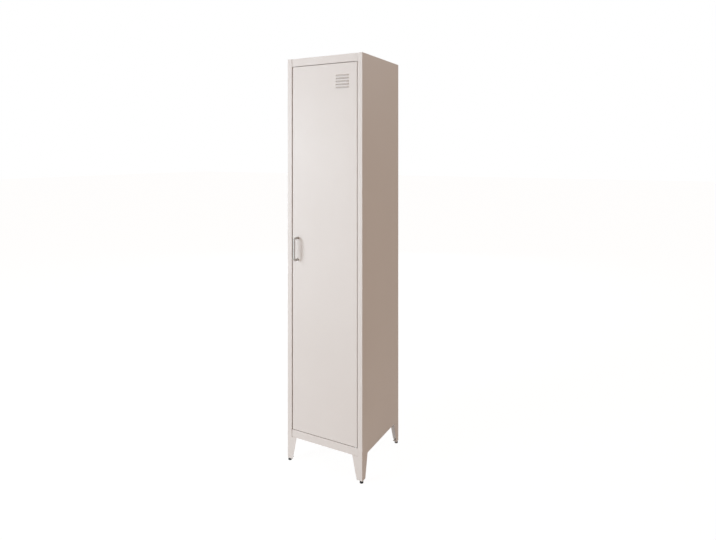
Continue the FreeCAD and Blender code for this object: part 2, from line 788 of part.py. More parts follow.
def door_skin():
    """Folded pan with returned edges, five pressed louvres and the handle and hinge holes."""
    body = add_body("door_skin")
    low, high = ("-1 * door_x", "door_low_z"), ("door_x", "door_high_z")
    pad(body, rectangle(body, "door_face", "XZ", "skin_y", low, high), "door_depth", turned=True)
    corners = [low, (high[0], low[1]), high, (low[0], high[1])]
    fillet(body, edges_through(body, "XZ", corners), "corner_round")
    front, rear = value("skin_y"), value("door_back_y")
    fillet(body, edges_where(body, lambda edge: near(edge.BoundBox.YMax, front)), "bend")
    shell(body, faces_where(body, lambda face: near(face.BoundBox.YMin, rear)), "sheet")
    lip = add_sketch(body, "door_return", "XZ", "door_back_y")
    draw_loop(lip, door_return_outline())
    draw_rectangle(lip, ("door_lip - door_x", "door_low_z + door_lip"),
                   ("door_x - door_lip", "door_high_z - door_lip"))
    pad(body, lip, "sheet")
    pivot_holes = circles(body, "door_pivot_holes", "XY", "door_high_z + hole_run / 2",
                          [("pivot_x", "pivot_y")], "bush_diameter")
    pocket(body, pivot_holes, "door_high_z - door_low_z + hole_run")
    screw_holes = circles(body, "door_handle_holes", "XZ", "skin_y - hole_run / 2", handle_ends(),
                          "screw_small + 2 * fit")
    pocket(body, screw_holes, "hole_run")
    louvres(body)


def door_return_outline():
    """The returned edge meets the pan's walls, with a relief cut across each corner."""
    outline = []
    for side_x, side_z, seat in ((1, 1, "door_high_z"), (-1, 1, "door_high_z"),
                                 (-1, -1, "door_low_z"), (1, -1, "door_low_z")):
        wall = (f"{side_x} * (door_x - sheet / 2)", f"{seat} - {side_z} * corner_round")
        relief = (f"{side_x} * (door_x - corner_round)", f"{seat} - {side_z} * sheet / 2")
        outline += [wall, relief] if side_x == side_z else [relief, wall]
    return outline


def louvres(body):
    """A row of hoods pressed out of the door, closed above and at the ends, open below."""
    left, right, mouth = "louvre_left_x", "louvre_right_x", "louvre_mouth_z"

    def section(name, position, inset, top):
        return rectangle(body, name, "XZ", position, (f"{left} + {inset}", mouth),
                         (f"{right} - {inset}", f"{mouth} + {top}"))
    root = section("hood_root", "skin_y", "0", "louvre_drop")
    nose = section("hood_nose", "skin_y - louvre_reach", "louvre_reach", "louvre_nose")
    hood = body.newObject("PartDesign::AdditiveLoft", "hood")
    hood.Profile = root
    hood.Sections = [nose]
    hood.Ruled = True
    doc.recompute()
    hollow_root = section("hollow_root", "skin_y", "cheek_wall", "louvre_drop - hood_wall")
    hollow_nose = section("hollow_nose", "skin_y - hollow_reach", "(cheek_wall + hollow_reach)", "hollow_top")
    hollow = body.newObject("PartDesign::SubtractiveLoft", "hollow")
    hollow.Profile = hollow_root
    hollow.Sections = [hollow_nose]
    hollow.Ruled = True
    doc.recompute()
    slot = pocket(body, section("hood_slot", "skin_y", "cheek_wall", "louvre_drop - hood_wall"), "sheet")
    row = body.newObject("PartDesign::LinearPattern", "louvre_row")
    row.Originals = [hood, hollow, slot]
    row.Direction = (slot.Profile[0], ["V_Axis"])
    row.Reversed = True
    bind(row, "Length", "louvre_pitch * (louvre_count - 1)")
    bind(row, "Occurrences", "louvre_count")
    body.Tip = row
    doc.recompute()


def door_stiffener():
    """Hat channel welded up the middle of the door."""
    body = add_body("door_stiffener")
    skin, web = "skin_y + sheet", "skin_y + sheet + stiffener_depth"
    wide, narrow = "stiffener_width / 2", "stiffener_width / 2 - stiffener_foot"
    outline, outside, inside = [], [], []
    for side in (-1, 1):
        half = [(f"{side} * ({wide})", skin), (f"{side} * ({wide})", f"{skin} + sheet"),
                (f"{side} * ({narrow} + sheet)", f"{skin} + sheet"), (f"{side} * ({narrow} + sheet)", web)]
        inner = [(f"{side} * ({narrow})", f"{web} - sheet"), (f"{side} * ({narrow})", skin)]
        outside += [half[3], inner[1]]
        inside += [half[2], inner[0]]
        outline.append((half, inner))
    (left, left_inner), (right, right_inner) = outline
    places = left + right[::-1] + right_inner[::-1] + left_inner
    folded(body, "XY", "door_low_z + stiffener_margin", "door_high_z - door_low_z - 2 * stiffener_margin",
           places, outside, inside)


def handle_ends():
    return [("handle_x", f"door_mid_z + {side} * handle_centres / 2") for side in (-1, 1)]


def door_handle():
    """Round rod bent to a bow, screwed on from inside the door."""
    body = add_body("door_handle")
    low, high = (height for x, height in handle_ends())
    spine = add_sketch(body, "handle_path", "YZ", "handle_x")
    turn_y = "bar_y + handle_bend"
    low_turn, high_turn = f"{low} + handle_bend", f"{high} - handle_bend"
    runs = ((("skin_y", low), (turn_y, low)), (("bar_y", low_turn), ("bar_y", high_turn)),
            ((turn_y, high), ("skin_y", high)))
    for start, end in runs:
        line = spine.addGeometry(Part.LineSegment(point(start), point(end)))
        pin_point(spine, line, 1, start)
        pin_point(spine, line, 2, end)
    slope = value("handle_bend * (1 - sqrt(0.5))")
    for run, middle_z in ((0, value(low) + slope), (1, value(high) - slope)):
        middle = FreeCAD.Vector(value("bar_y") + slope, middle_z, 0)
        arc = spine.addGeometry(Part.Arc(point(runs[run][1]), middle, point(runs[run + 1][0])))
        # The arc runs counterclockwise, so its own start is the later end of the path
        spine.addConstraint(Sketcher.Constraint("Coincident", arc, 2, run, 2))
        spine.addConstraint(Sketcher.Constraint("Coincident", arc, 1, run + 1, 1))
        number = spine.addConstraint(Sketcher.Constraint("Radius", arc, value("handle_bend")))
        spine.renameConstraint(number, f"Bend_{run}")
        bind(spine, f"Constraints.Bend_{run}", "handle_bend")
    section = circles(body, "handle_section", "XZ", "skin_y", handle_ends()[:1], "handle_rod")
    rod = body.newObject("PartDesign::AdditivePipe", "handle_rod")
    rod.Profile = section
    rod.Spine = spine
    doc.recompute()
    threads = circles(body, "handle_threads", "XZ", "skin_y", handle_ends(), "screw_small + fit")
    pocket(body, threads, "handle_thread_depth", turned=True)
    screws("handle_screws", "screw_small", "sheet + handle_thread_depth - handle_thread_end",
           [(x, "skin_y + sheet", height, REAR) for x, height in handle_ends()])


def hinge_pins():
    """Pins fixed in the floor and the header, and the bushes in the door that turn on them."""
    pin, head, tail = "pin_diameter / 2", "pin_flange / 2", "pin_diameter / 2 - fit"
    rivet, point_end = "pin_rivet / 2", "pin_diameter / 2 - pin_chamfer"
    under, rivet_end = "floor_z - sheet", "floor_z - sheet - pin_rivet_height"
    shoulder = "floor_z + pin_flange_height"
    top = f"{shoulder} + pin_engagement"
    revolve("lower_hinge_pin", [
        ("0", rivet_end), (rivet, rivet_end), (rivet, under), (tail, under), (tail, "floor_z"),
        (head, "floor_z"), (head, shoulder), (pin, shoulder),
        (pin, f"{top} - pin_chamfer"), (point_end, top), ("0", top)], "pivot_x", "pivot_y")
    over = "header_z + sheet"
    head_top = f"{over} + pin_flange_height"
    low = "door_high_z - pin_engagement + pin_flange_height"
    revolve("upper_hinge_pin", [
        ("0", low), (point_end, low), (pin, f"{low} + pin_chamfer"), (pin, over), (head, over),
        (head, head_top), ("0", head_top)], "pivot_x", "pivot_y")
    bore, barrel, flange = "pin_diameter / 2 + pin_clearance", "bush_diameter / 2", "bush_flange / 2"
    for label, seat, way in (("lower_hinge_bush", "door_low_z", 1), ("upper_hinge_bush", "door_high_z", -1)):
        outside = f"{seat} - {way} * bush_flange_height"
        inside = f"{seat} + {way} * bush_length"
        revolve(label, [(bore, outside), (flange, outside), (flange, seat), (barrel, seat), (barrel, inside),
                        (bore, inside)], "pivot_x", "pivot_y")


# Catch, strike plate and buffers

def magnetic_catch():
    """Magnet between two pole plates, in a moulded housing behind the door stop."""
    body = add_body("catch_housing")
    outer, rear, face = "catch_x - stop_lip + fit", "stop_y + sheet + catch_depth", "stop_y + catch_nose"
    inner = "catch_x - stop_lip + fit + catch_length"
    seat = "stop_y + sheet"
    outline = [(outer, seat), ("catch_x", seat), ("catch_x", face), (inner, face), (inner, rear),
               (outer, rear)]
    plan = loop(body, "catch_plan", "XY", "door_mid_z - catch_height / 2", outline)
    pad(body, plan, "catch_height")
    low_x, high_x = "catch_x + magnet_margin", f"{inner} - magnet_margin"
    low_z, high_z = "door_mid_z - magnet_height / 2", "door_mid_z + magnet_height / 2"
    recess = rectangle(body, "magnet_pocket", "XZ", face, (low_x, low_z), (high_x, high_z))
    pocket(body, recess, "magnet_depth")
    bores = circles(body, "catch_screw_bores", "XZ", "stop_y", catch_screw_places(), "screw_small + fit")
    pocket(body, bores, "catch_depth + hole_run")
    poles = []
    for name, start in (("catch_pole_outer", low_x), ("catch_pole_inner", f"{high_x} - pole_sheet")):
        plate = doc.addObject("Part::Box", name)
        bind(plate, "Length", "pole_sheet")
        bind(plate, "Width", "magnet_depth + pole_proud")
        bind(plate, "Height", "magnet_height")
        place_at(plate, start, f"{face} - pole_proud", low_z, UP)
        poles.append(plate)
    group("catch_poles", poles)
    magnet = keep(doc.addObject("Part::Box", "catch_magnet"))
    bind(magnet, "Length", f"{high_x} - ({low_x}) - 2 * pole_sheet")
    bind(magnet, "Width", "magnet_depth")
    bind(magnet, "Height", "magnet_height")
    place_at(magnet, f"{low_x} + pole_sheet", face, low_z, UP)
    screws("catch_screws", "screw_small", "catch_depth + sheet",
           [(x, rear, height, REAR) for x, height in catch_screw_places()])


def strike_plate():
    """Steel plate on the door's returned edge, facing the magnet."""
    body = add_body("strike_plate")
    low = ("catch_x", "door_mid_z - strike_height / 2")
    high = ("catch_x + strike_width", "door_mid_z + strike_height / 2")
    pad(body, rectangle(body, "strike_outline", "XZ", "door_back_y", low, high), "strike_sheet", turned=True)
    fillet(body, edges_through(body, "XZ", [low, high, (low[0], high[1]), (high[0], low[1])]), "bend")


def door_buffers():
    """Rubber discs on the stop that take up the last of the door's swing."""
    discs = []
    for name, height in (("lower_buffer", "door_low_z + buffer_from_end"),
                         ("upper_buffer", "door_high_z - buffer_from_end")):
        disc = doc.addObject("Part::Cylinder", name)
        bind(disc, "Radius", "buffer_diameter / 2")
        bind(disc, "Height", "stop_gap - stop_rest")
        place_at(disc, "stop_lip / 2 - post_x", "stop_y - stop_gap + stop_rest", height, REAR)
        discs.append(disc)
    group("door_buffers", discs)


def write_parts():
    """Check every object, then write one file for each sub-part."""
    doc.recompute()
    for item in doc.Objects:
        if "Invalid" in item.State or "Error" in item.State:
            raise RuntimeError(f"{item.Name} failed: {item.State}")
    for item in sub_parts:
        if item.Shape.isNull() or not item.Shape.isValid():
            raise RuntimeError(f"{item.Label} has no valid shape")
    os.makedirs("parts", exist_ok=True)
    for item in sub_parts:
        item.Shape.exportStep(f"parts/{item.Label}.step")


side_panel("left_side_panel", -1)
side_panel("right_side_panel", 1)
door_stop()
base_panel()
top_panel()
back_panel()
case_screws()
legs()
levelling_feet()
hat_shelf()
shelf_bracket("left_shelf_bracket", -1)
shelf_bracket("right_shelf_bracket", 1)
screws("shelf_screws", "screw_small", "screw_length",
       [(x, y, "shelf_height", UP) for x, y in shelf_screw_places()])
hanging_rail()
door_skin()
door_stiffener()
door_handle()
hinge_pins()
magnetic_catch()
strike_plate()
door_buffers()
write_parts()
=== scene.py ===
import json
import math

import bmesh
import bpy
from mathutils import Matrix, Vector


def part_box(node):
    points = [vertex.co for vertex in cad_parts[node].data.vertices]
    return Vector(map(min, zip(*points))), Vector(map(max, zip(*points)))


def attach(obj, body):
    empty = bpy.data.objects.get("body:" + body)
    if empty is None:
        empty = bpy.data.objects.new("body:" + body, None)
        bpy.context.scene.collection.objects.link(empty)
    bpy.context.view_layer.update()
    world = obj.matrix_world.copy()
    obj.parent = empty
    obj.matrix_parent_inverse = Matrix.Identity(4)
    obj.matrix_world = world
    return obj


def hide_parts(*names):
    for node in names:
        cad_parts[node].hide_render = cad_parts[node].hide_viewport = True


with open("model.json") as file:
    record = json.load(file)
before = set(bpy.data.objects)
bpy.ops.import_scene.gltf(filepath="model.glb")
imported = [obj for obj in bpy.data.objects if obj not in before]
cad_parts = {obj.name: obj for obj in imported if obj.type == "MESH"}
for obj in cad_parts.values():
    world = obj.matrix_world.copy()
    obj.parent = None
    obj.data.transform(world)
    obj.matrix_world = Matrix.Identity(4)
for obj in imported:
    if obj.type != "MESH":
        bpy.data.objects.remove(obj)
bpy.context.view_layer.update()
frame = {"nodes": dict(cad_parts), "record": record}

# Looks of a painted sheet-steel locker. Metres, +Z up, the door faces -Y.

# Photograph: its frame in pixels, and the level camera that its straight edges give
IMAGE_WIDTH = 716
IMAGE_HEIGHT = 540
FOCAL_PIXELS = 534.76
HORIZON_ROW = 154.28
CAMERA_PLACE = (1.2264, -2.1390, 1.3742)
CAMERA_YAW = math.radians(28.21)
CAMERA_LEVEL = math.radians(90)
SENSOR_MM = 36

# Light: cool daylight lamps round the middle of the door, and a warm fill from all round
# Each lamp has its distance, its turn to the right and its rise in degrees, its size and its watts
LAMPS = {
    "window": (6.0, -34, 9, 2.6, 196),
    "upper_left": (1.0, -55, 28, 0.3, 0.83),
    "upper_right": (1.62, 87, 56, 0.4, 1.15),
    "floor_bounce": (3.0, -10, -15, 0.6, 15.6),
    "rear_window": (5.0, -155, 12, 2.2, 60),
}
DAYLIGHT = (0.770, 0.895, 1.0)
FILL_STRENGTH = 0.404
FILL_COLOUR = (1.0, 0.746, 0.567)

# Floor: its reach, the pale colour that lights the locker, and the glow and shade that the eye sees
FLOOR_SIZE = 60
FLOOR_COLOUR = (0.88, 0.87, 0.86)
FLOOR_GLOW = 0.95
FLOOR_SHADE = (0.12, 0.12, 0.12)

# Noise: the middle of its range, which the finishes spread over their own
NOISE_LOW = 0.3
NOISE_HIGH = 0.7

# Fasteners: thread diameters and pitches, and the chamfer of a stud
SMALL_SCREW = 0.0035
TAPPING_PITCH = 0.0013
MACHINE_PITCH = 0.0006
LARGE_SCREW = 0.006
LARGE_PITCH = 0.001
STUD_PITCH = 0.00125
STUD_CHAMFER = 0.001

# Screws: shares of the thread's diameter
HEAD_SHARE = 2.0
HEAD_HEIGHT_SHARE = 0.55
RECESS_SHARE = 0.52
RECESS_DEPTH_SHARE = 0.34
RECESS_ARM_SHARE = 0.17
THREAD_DEPTH_SHARE = 0.09

# Pan head: shares of its radius and height
SEAT_SHARE = 0.94
CHAMFER_SHARE = 0.08
RIM_SHARE = 0.26
FLAT_SHARE = 0.62

# Recess: the share of its mouth that is left at its bottom
CROSS_TAPER = 0.62
SOCKET_TAPER = 0.97

# Thread: how steep its flanks and how wide its crests are, and the point in shares of its core's radius
THREAD_FLANK = 2.6
THREAD_CREST = 0.15
POINT_LENGTH_SHARE = 0.5
POINT_SHARE = 0.6

# Nut: its face as a share of its width, and the slope and height of its chamfers
NUT_FACE_SHARE = 0.95
NUT_CHAMFER_RUN = 1.7
NUT_CHAMFER_SHARE = 0.16

# Mesh: how finely round forms are divided
ROUND_STEPS = 32
STUD_STEPS = 24
NUT_STEPS = 48
DOME_STEPS = 6
NUT_CHAMFER_STEPS = 4
RINGS_PER_TURN = 6

# Mesh: how each screw is turned from the last, which edges are sharp, and how near points are joined
SCREW_SPIN = math.radians(37)
SHARP_ANGLE = math.radians(35)
WELD_REACH = 1e-6

# Ways in the locker's frame, and the turn from one side of a hexagon to the next
UP = Vector((0, 0, 1))
REAR = Vector((0, 1, 0))
RIGHT = Vector((1, 0, 0))
SIXTH_TURN = math.tau / 6


# Materials

class Finish:
    """A node material whose textures lie in the locker's own frame."""

    def __init__(self, name, roughness, metallic=0.0, specular=0.5):
        self.material = bpy.data.materials.new(name)
        self.material.use_nodes = True
        self.nodes = self.material.node_tree.nodes
        self.links = self.material.node_tree.links
        self.shader = self.nodes["Principled BSDF"]
        self.shader.inputs["Roughness"].default_value = roughness
        self.shader.inputs["Metallic"].default_value = metallic
        self.shader.inputs["Specular IOR Level"].default_value = specular
        self.place = self.nodes.new("ShaderNodeTexCoord").outputs["Object"]
        self.normal = None

    def noise(self, scale, detail=2.0, stretch=(1, 1, 1)):
        """Cloudy noise, drawn out along an axis whose stretch is below one."""
        mapping = self.nodes.new("ShaderNodeMapping")
        mapping.inputs["Scale"].default_value = stretch
        texture = self.nodes.new("ShaderNodeTexNoise")
        texture.inputs["Scale"].default_value = scale
        texture.inputs["Detail"].default_value = detail
        self.links.new(self.place, mapping.inputs["Vector"])
        self.links.new(mapping.outputs["Vector"], texture.inputs["Vector"])
        return texture.outputs["Fac"]

    def cells(self, scale):
        """Small cells, as the distance to the middle of each."""
        texture = self.nodes.new("ShaderNodeTexVoronoi")
        texture.inputs["Scale"].default_value = scale
        self.links.new(self.place, texture.inputs["Vector"])
        return texture.outputs["Distance"]

    def colours(self, source, dark, light):
        """Colour that wanders between two near shades."""
        ramp = self.nodes.new("ShaderNodeValToRGB")
        stops = zip(ramp.color_ramp.elements, (NOISE_LOW, NOISE_HIGH), (dark, light))
        for stop, position, colour in stops:
            stop.position = position
            stop.color = (*colour, 1)
        self.links.new(source, ramp.inputs["Fac"])
        self.links.new(ramp.outputs["Color"], self.shader.inputs["Base Color"])

    def roughness(self, source, low, high):
        """Gloss that wanders between two near levels."""
        spread = self.nodes.new("ShaderNodeMapRange")
        spread.inputs["From Min"].default_value = NOISE_LOW
        spread.inputs["From Max"].default_value = NOISE_HIGH
        spread.inputs["To Min"].default_value = low
        spread.inputs["To Max"].default_value = high
        self.links.new(source, spread.inputs["Value"])
        self.links.new(spread.outputs["Result"], self.shader.inputs["Roughness"])

    def relief(self, source, strength, height):
        """Raised grain; each call adds to the one before."""
        bump = self.nodes.new("ShaderNodeBump")
        bump.inputs["Strength"].default_value = strength
        bump.inputs["Distance"].default_value = height
        self.links.new(source, bump.inputs["Height"])
        if self.normal:
            self.links.new(self.normal, bump.inputs["Normal"])
        self.normal = bump.outputs["Normal"]
        self.links.new(self.normal, self.shader.inputs["Normal"])


def powder_coat():
    """Warm off-white powder coat with a fine orange-peel skin."""
    finish = Finish("powder_coat", roughness=0.5, specular=0.4)
    cloud = finish.noise(2.5, detail=4)
    finish.colours(cloud, dark=(0.735, 0.680, 0.640), light=(0.755, 0.702, 0.662))
    finish.roughness(finish.noise(45, detail=3), low=0.49, high=0.53)
    finish.relief(finish.noise(650), strength=0.12, height=0.00012)
    finish.relief(finish.cells(1900), strength=0.06, height=0.00004)
    return finish.material


def satin_metal():
    """Handle rod: satin nickel with a fine grain drawn along the bar."""
    finish = Finish("satin_metal", roughness=0.56, metallic=1.0)
    cloud = finish.noise(60, detail=3, stretch=(1, 1, 0.05))
    finish.colours(cloud, dark=(0.42, 0.392, 0.365), light=(0.48, 0.449, 0.419))
    finish.roughness(finish.noise(900, stretch=(1, 1, 0.03)), low=0.50, high=0.62)
    finish.relief(finish.noise(2200, stretch=(1, 1, 0.02)), strength=0.10, height=0.00003)
    return finish.material


def zinc_plate():
    """Bright zinc on fasteners, pins, studs and the catch's plates, slightly clouded."""
    finish = Finish("zinc_plate", roughness=0.36, metallic=1.0)
    finish.colours(finish.noise(180, detail=4), dark=(0.50, 0.51, 0.52), light=(0.66, 0.66, 0.64))
    finish.roughness(finish.noise(420, detail=3), low=0.28, high=0.46)
    finish.relief(finish.noise(1600), strength=0.08, height=0.00003)
    return finish.material


def chrome_plate():
    """Polished rail with faint rubbing where hangers slide."""
    finish = Finish("chrome_plate", roughness=0.12, metallic=1.0)
    cloud = finish.noise(30, detail=3, stretch=(0.2, 1, 1))
    finish.colours(cloud, dark=(0.66, 0.66, 0.67), light=(0.74, 0.74, 0.74))
    finish.roughness(finish.noise(90, detail=4, stretch=(0.1, 1, 1)), low=0.07, high=0.18)
    finish.relief(finish.noise(700, stretch=(0.05, 1, 1)), strength=0.04, height=0.00002)
    return finish.material


def black_moulding():
    """Black nylon of the levelling feet and their collars, with a spark-eroded grain."""
    finish = Finish("black_moulding", roughness=0.5, specular=0.4)
    finish.colours(finish.noise(120, detail=3), dark=(0.016, 0.016, 0.017), light=(0.030, 0.029, 0.028))
    finish.roughness(finish.noise(300), low=0.44, high=0.60)
    finish.relief(finish.noise(1500, detail=3), strength=0.25, height=0.00008)
    return finish.material


def pale_moulding(name, dark, light):
    """Pale moulded plastic with a faint flow cloud and a fine grain."""
    finish = Finish(name, roughness=0.45)
    finish.shader.inputs["Subsurface Weight"].default_value = 0.05
    finish.shader.inputs["Subsurface Radius"].default_value = (0.002, 0.002, 0.002)
    finish.colours(finish.noise(70, detail=3), dark, light)
    finish.roughness(finish.noise(260), low=0.38, high=0.52)
    finish.relief(finish.noise(1400, detail=3), strength=0.15, height=0.00006)
    return finish.material


def sintered_magnet():
    """Dull grey ferrite of the catch's magnet."""
    finish = Finish("sintered_magnet", roughness=0.8, specular=0.3)
    finish.colours(finish.noise(500, detail=4), dark=(0.035, 0.035, 0.037), light=(0.085, 0.083, 0.080))
    finish.roughness(finish.noise(300), low=0.70, high=0.90)
    finish.relief(finish.noise(1800, detail=3), strength=0.30, height=0.00008)
    return finish.material


def grey_rubber():
    """Dull dark rubber of the door buffers."""
    finish = Finish("grey_rubber", roughness=0.75, specular=0.3)
    finish.colours(finish.noise(300, detail=3), dark=(0.055, 0.055, 0.056), light=(0.085, 0.085, 0.084))
    finish.roughness(finish.noise(200), low=0.68, high=0.84)
    finish.relief(finish.noise(1300), strength=0.20, height=0.00006)
    return finish.material


FINISHES = {
    "case_paint": powder_coat(),
    "handle_metal": satin_metal(),
    "zinc": zinc_plate(),
    "rail_chrome": chrome_plate(),
    "black_plastic": black_moulding(),
    "nylon": pale_moulding("white_nylon", dark=(0.70, 0.69, 0.64), light=(0.76, 0.75, 0.70)),
    "catch_plastic": pale_moulding("catch_moulding", dark=(0.60, 0.57, 0.53), light=(0.66, 0.63, 0.59)),
    "magnet": sintered_magnet(),
    "buffer_rubber": grey_rubber(),
}


def dress(piece, slot):
    """Give a piece the finish of its slot."""
    piece.data.materials.clear()
    piece.data.materials.append(FINISHES[slot])


def dress_nodes():
    """Give every CAD node the finish that the record's slots name."""
    for part in frame["record"]["subparts"]:
        dress(frame["nodes"][part["node"]], part["material_slot"])


# Meshes

def islands(node):
    """Lowest and highest corner of each separate solid in a node."""
    mesh = bmesh.new()
    mesh.from_mesh(frame["nodes"][node].data)
    bmesh.ops.remove_doubles(mesh, verts=mesh.verts, dist=WELD_REACH)
    left = set(mesh.verts)
    boxes = []
    while left:
        front = [left.pop()]
        corners = [front[0].co.copy()]
        while front:
            vertex = front.pop()
            for edge in vertex.link_edges:
                other = edge.other_vert(vertex)
                if other in left:
                    left.remove(other)
                    front.append(other)
                    corners.append(other.co.copy())
        low = Vector([min(corner[axis] for corner in corners) for axis in range(3)])
        high = Vector([max(corner[axis] for corner in corners) for axis in range(3)])
        boxes.append((low, high))
    mesh.free()
    return sorted(boxes, key=lambda box: tuple(box[0]))


def ring(mesh, radius, height, steps=ROUND_STEPS):
    """A ring of vertices about Z. The radius is a number or a function of the angle."""
    made = []
    for step in range(steps):
        angle = math.tau * step / steps
        reach = radius(angle) if callable(radius) else radius
        made.append(mesh.verts.new((reach * math.cos(angle), reach * math.sin(angle), height)))
    return made


def bridge(mesh, lower, upper):
    """Join two rings with a band of faces."""
    count = len(lower)
    for step in range(count):
        following = (step + 1) % count
        mesh.faces.new((lower[step], lower[following], upper[following], upper[step]))


def fill(mesh, *loops):
    """Fill the flat space between loops."""
    edges = []
    for loop in loops:
        for first, second in zip(loop, loop[1:] + loop[:1]):
            edges.append(mesh.edges.get((first, second)) or mesh.edges.new((first, second)))
    bmesh.ops.triangle_fill(mesh, edges=edges, use_beauty=True, normal=UP)


def add_to(whole, single, place):
    """Move one mesh into another."""
    bmesh.ops.transform(single, matrix=place, verts=single.verts)
    part = bpy.data.meshes.new("part")
    single.to_mesh(part)
    single.free()
    whole.from_mesh(part)
    bpy.data.meshes.remove(part)


def finish_piece(mesh, node, body):
    """Turn a mesh into a zinc-plated piece that rides a body and stands for a CAD node."""
    bmesh.ops.recalc_face_normals(mesh, faces=mesh.faces)
    name = f"{node}_detail"
    data = bpy.data.meshes.new(name)
    mesh.to_mesh(data)
    mesh.free()
    piece = bpy.data.objects.new(name, data)
    bpy.context.scene.collection.objects.link(piece)
    data.shade_smooth()
    data.set_sharp_from_angle(angle=SHARP_ANGLE)
    dress(piece, "zinc")
    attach(piece, body)
    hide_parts(node)


# Screws

def head_profile():
    """Half section of a pan head from its seat to its flat top, in shares of its radius and height."""
    points = [(SEAT_SHARE, 0), (1, CHAMFER_SHARE)]
    for step in range(DOME_STEPS + 1):
        angle = math.tau / 4 * step / DOME_STEPS
        reach = FLAT_SHARE + (1 - FLAT_SHARE) * math.cos(angle)
        rise = RIM_SHARE + (1 - RIM_SHARE) * math.sin(angle)
        points.append((reach, rise))
    return points


def cross_points(reach, arm):
    """Outline of a cross recess, counterclockwise."""
    points = []
    for quarter in range(4):
        turn = Matrix.Rotation(math.tau * quarter / 4, 2)
        points += [turn @ Vector(corner) for corner in ((arm, -arm), (reach, -arm), (reach, arm))]
    return points


def hexagon_points(reach):
    """Outline of a hexagon socket, counterclockwise."""
    angles = [SIXTH_TURN * step for step in range(6)]
    return [Vector((reach * math.cos(angle), reach * math.sin(angle))) for angle in angles]


def recess(size, drive):
    """Outline of a screw's recess at its mouth, and the share of it that is left at the bottom."""
    reach = size * RECESS_SHARE
    if drive == "cross":
        return cross_points(reach, size * RECESS_ARM_SHARE), CROSS_TAPER
    return hexagon_points(reach), SOCKET_TAPER


def thread_reach(radius, depth, pitch, height):
    """Radius of a helical thread at a height, as a function of the angle."""
    def reach(angle):
        turn = (height / pitch - angle / math.tau) % 1
        groove = THREAD_FLANK * abs(turn - 0.5) - THREAD_CREST
        return radius - depth * min(1, max(0, groove))
    return reach


def add_thread(mesh, radius, depth, pitch, low, high, steps=ROUND_STEPS):
    """Rings of a threaded rod from low to high. Gives the two end rings."""
    count = max(2, round((high - low) / pitch * RINGS_PER_TURN))
    rings = []
    for number in range(count + 1):
        height = low + (high - low) * number / count
        rings.append(ring(mesh, thread_reach(radius, depth, pitch, height), height, steps))
        if number:
            bridge(mesh, rings[-2], rings[-1])
    return rings[0], rings[-1]


def screw_mesh(size, pitch, length, drive):
    """Pan-head screw about Z, its head seated at zero and its thread below."""
    mesh = bmesh.new()
    head = size * HEAD_SHARE / 2
    top = size * HEAD_HEIGHT_SHARE
    rings = [ring(mesh, head * reach, top * rise) for reach, rise in head_profile()]
    for lower, upper in zip(rings, rings[1:]):
        bridge(mesh, lower, upper)

    outline, taper = recess(size, drive)
    floor = top - size * RECESS_DEPTH_SHARE
    mouth = [mesh.verts.new((point.x, point.y, top)) for point in outline]
    bottom = [mesh.verts.new((point.x * taper, point.y * taper, floor)) for point in outline]
    fill(mesh, rings[-1], mouth)
    bridge(mesh, mouth, bottom)
    fill(mesh, bottom)

    depth = size * THREAD_DEPTH_SHARE
    core = size / 2 - depth
    thread_end = core * POINT_LENGTH_SHARE - length
    lower, upper = add_thread(mesh, size / 2, depth, pitch, thread_end, 0)
    fill(mesh, rings[0], upper)
    point = ring(mesh, core * POINT_SHARE, -length)
    bridge(mesh, point, lower)
    fill(mesh, point)
    return mesh


def screw_piece(node, body, way, size, pitch, drive="cross"):
    """Detailed screws in place of a node's plain ones. Heads point one way, or as their place says."""
    whole = bmesh.new()
    for number, (low, high) in enumerate(islands(node)):
        direction = way(low) if callable(way) else way
        axis = max(range(3), key=lambda candidate: abs(direction[candidate]))
        length = high[axis] - low[axis] - size * HEAD_HEIGHT_SHARE
        seat = (low + high) / 2
        if direction[axis] > 0:
            seat[axis] = low[axis] + length
        else:
            seat[axis] = high[axis] - length
        single = screw_mesh(size, pitch, length, drive)
        turned = direction.to_track_quat("Z", "Y").to_matrix().to_4x4()
        spin = Matrix.Rotation(SCREW_SPIN * number, 4, "Z")
        add_to(whole, single, Matrix.Translation(seat) @ turned @ spin)
    finish_piece(whole, node, body)


def towards_middle(low):
    """Way of the frame screws' heads: from either side towards the middle of the locker."""
    return RIGHT if low.x < 0 else -RIGHT


# Nuts and studs

def nut_mesh(across, bore, height):
    """Hexagon nut about Z, standing on zero and chamfered at both ends."""
    mesh = bmesh.new()
    flat = across / 2

    def outline(rise):
        """Radius of the hexagon, cut by the chamfer's cone at a height, as a function of the angle."""
        cone = flat * NUT_FACE_SHARE + min(rise, height - rise) * NUT_CHAMFER_RUN

        def reach(angle):
            within = (angle + SIXTH_TURN / 2) % SIXTH_TURN - SIXTH_TURN / 2
            return min(flat / math.cos(within), cone)
        return reach

    chamfer = [NUT_CHAMFER_SHARE * step / NUT_CHAMFER_STEPS for step in range(NUT_CHAMFER_STEPS + 1)]
    rises = [height * share for share in chamfer] + [height * (1 - share) for share in reversed(chamfer)]
    outside = [ring(mesh, outline(rise), rise, NUT_STEPS) for rise in rises]
    for lower, upper in zip(outside, outside[1:]):
        bridge(mesh, lower, upper)
    inside = [ring(mesh, bore / 2, rise, NUT_STEPS) for rise in (0, height)]
    bridge(mesh, inside[1], inside[0])
    bridge(mesh, inside[0], outside[0])
    bridge(mesh, outside[-1], inside[1])
    return mesh


def nut_piece(node, body, bore):
    """Chamfered nuts in place of plain hexagons. Their corners lie along X."""
    whole = bmesh.new()
    corner_on_x = Matrix.Rotation(SIXTH_TURN / 2, 4, "Z")
    for low, high in islands(node):
        middle = (low + high) / 2
        single = nut_mesh(high.y - low.y, bore, high.z - low.z)
        add_to(whole, single, Matrix.Translation((middle.x, middle.y, low.z)) @ corner_on_x)
    finish_piece(whole, node, body)


